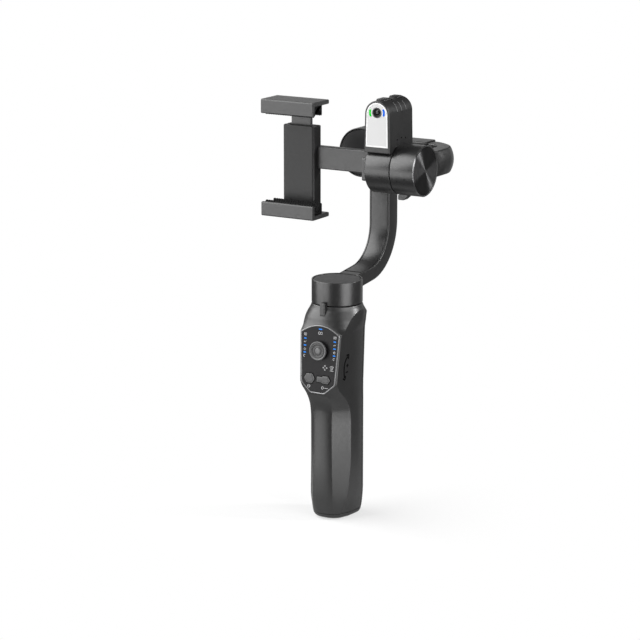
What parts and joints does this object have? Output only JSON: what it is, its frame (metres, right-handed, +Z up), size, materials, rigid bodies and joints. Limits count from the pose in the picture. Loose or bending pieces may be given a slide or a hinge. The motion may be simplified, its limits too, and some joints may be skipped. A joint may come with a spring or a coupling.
{
  "type": "smartphone gimbal",
  "caption": "Hand-held smartphone gimbal with a three-axis motor arm, spring phone clamp, tracking module, and thumb stick and keys on an angled grip.",
  "frame": {"origin": "mouth of the tripod socket in the middle of the base, on the pan axis", "axes": "+Z up along the pan axis, -Y out of the control panel, +X towards the tilt motor (the user's right)"},
  "size_m": [0.1292, 0.1039, 0.3131],
  "materials": {
    "housing_plastic": "fine textured satin",
    "panel_plastic": "smooth satin",
    "trim_metal": "satin",
    "arm_metal": "satin",
    "brushed_disc": "brushed in rings",
    "clamp_plastic": "satin",
    "pad_rubber": "matt",
    "steel": "satin",
    "insert_brass": "machined",
    "motor_core": "enamelled wire",
    "mount_aluminium": "machined",
    "board_laminate": "solder resist",
    "cell_wrap": "shrink film",
    "white_face": "glossy",
    "light_blue": "lit from behind",
    "light_green": "lit from behind"
  },
  "bodies": {
    "handle": {"base_cap": "housing_plastic", "tripod_insert": "insert_brass", "handle_back": "housing_plastic", "handle_front": "housing_plastic", "battery_cell": "cell_wrap", "battery_cradle": "clamp_plastic", "main_board": "board_laminate", "usb_socket": "steel", "shell_screws": "steel", "panel_trim": "trim_metal", "control_panel": "panel_plastic", "light_guides": "light_blue", "key_switches": "steel", "stick_module": "clamp_plastic", "pan_lug": "housing_plastic", "pan_mount": "mount_aluminium", "pan_stator": "motor_core", "pan_bearings": "steel"},
    "stick_ring": {"stick_yoke": "steel"},
    "thumb_stick": {"stick_cap": "housing_plastic"},
    "power_button": {"power_key": "housing_plastic"},
    "mode_button": {"mode_key": "housing_plastic"},
    "pan_arm": {"pan_bell": "arm_metal", "pan_cap": "arm_metal", "pan_shaft": "steel", "pan_magnets": "steel", "riser_arm": "arm_metal", "riser_inlay": "arm_metal", "roll_housing": "arm_metal", "roll_back_cap": "arm_metal", "roll_stator": "motor_core", "roll_bearings": "steel"},
    "roll_frame": {"roll_bell": "arm_metal", "roll_cap": "arm_metal", "roll_shaft": "steel", "roll_magnets": "steel", "arm_sleeve": "arm_metal", "roll_arm": "arm_metal", "tilt_housing": "arm_metal", "tilt_disc": "brushed_disc", "tilt_lug": "arm_metal", "tilt_stator": "motor_core", "tilt_bearings": "steel"},
    "tilt_head": {"tilt_bell": "arm_metal", "tilt_shaft": "steel", "tilt_magnets": "steel", "clamp_bracket": "clamp_plastic", "clamp_spine": "clamp_plastic", "lower_jaw": "clamp_plastic", "lower_pad": "pad_rubber", "clamp_springs": "steel", "tracker_shell": "housing_plastic", "tracker_face": "white_face", "tracker_lens": "panel_plastic", "tracker_lights": "light_green", "tracker_board": "board_laminate"},
    "jaw_slide": {"upper_jaw": "clamp_plastic", "upper_pad": "pad_rubber"},
    "push_button": {"tracker_button": "housing_plastic"},
    "slide_switch": {"tracker_switch": "housing_plastic"}
  },
  "joints": [
    {"name": "pan_spin", "type": "hinge", "parent": "handle", "child": "pan_arm", "pos_m": [0, 0, 0.17], "axis": [0, 0, 1], "range_deg": [-165, 165]},
    {"name": "roll_spin", "type": "hinge", "parent": "pan_arm", "child": "roll_frame", "pos_m": [0, 0.053, 0.2631], "axis": [0, -1, 0], "range_deg": [-160, 160]},
    {"name": "tilt_spin", "type": "hinge", "parent": "roll_frame", "child": "tilt_head", "pos_m": [0.059, -0.012, 0.2631], "axis": [1, 0, 0], "range_deg": [-45, 50]},
    {"name": "jaw_travel", "type": "slide", "parent": "tilt_head", "child": "jaw_slide", "axis": [0, 0, 1], "range_m": [-0.012, 0.016]},
    {"name": "stick_up_down", "type": "hinge", "parent": "handle", "child": "stick_ring", "pos_m": [0, -0.02225, 0.12745], "axis": [1, 0, 0], "range_deg": [-8, 8], "stiffness_Nm_per_rad": 0.02},
    {"name": "stick_side", "type": "hinge", "parent": "stick_ring", "child": "thumb_stick", "pos_m": [0, -0.02225, 0.12745], "axis": [0, 0.0944, 0.9955], "range_deg": [-8, 8], "stiffness_Nm_per_rad": 0.02},
    {"name": "power_press", "type": "slide", "parent": "handle", "child": "power_button", "axis": [0, 0.9955, -0.0944], "range_m": [0, 0.0005], "stiffness_N_per_m": 800},
    {"name": "mode_press", "type": "slide", "parent": "handle", "child": "mode_button", "axis": [0, 0.9955, -0.0944], "range_m": [0, 0.0005], "stiffness_N_per_m": 800},
    {"name": "push_press", "type": "slide", "parent": "tilt_head", "child": "push_button", "axis": [0, 0, -1], "range_m": [0, 0.0005], "stiffness_N_per_m": 800},
    {"name": "switch_slide", "type": "slide", "parent": "tilt_head", "child": "slide_switch", "axis": [0, 1, 0], "range_m": [0, 0.002]}
  ]
}
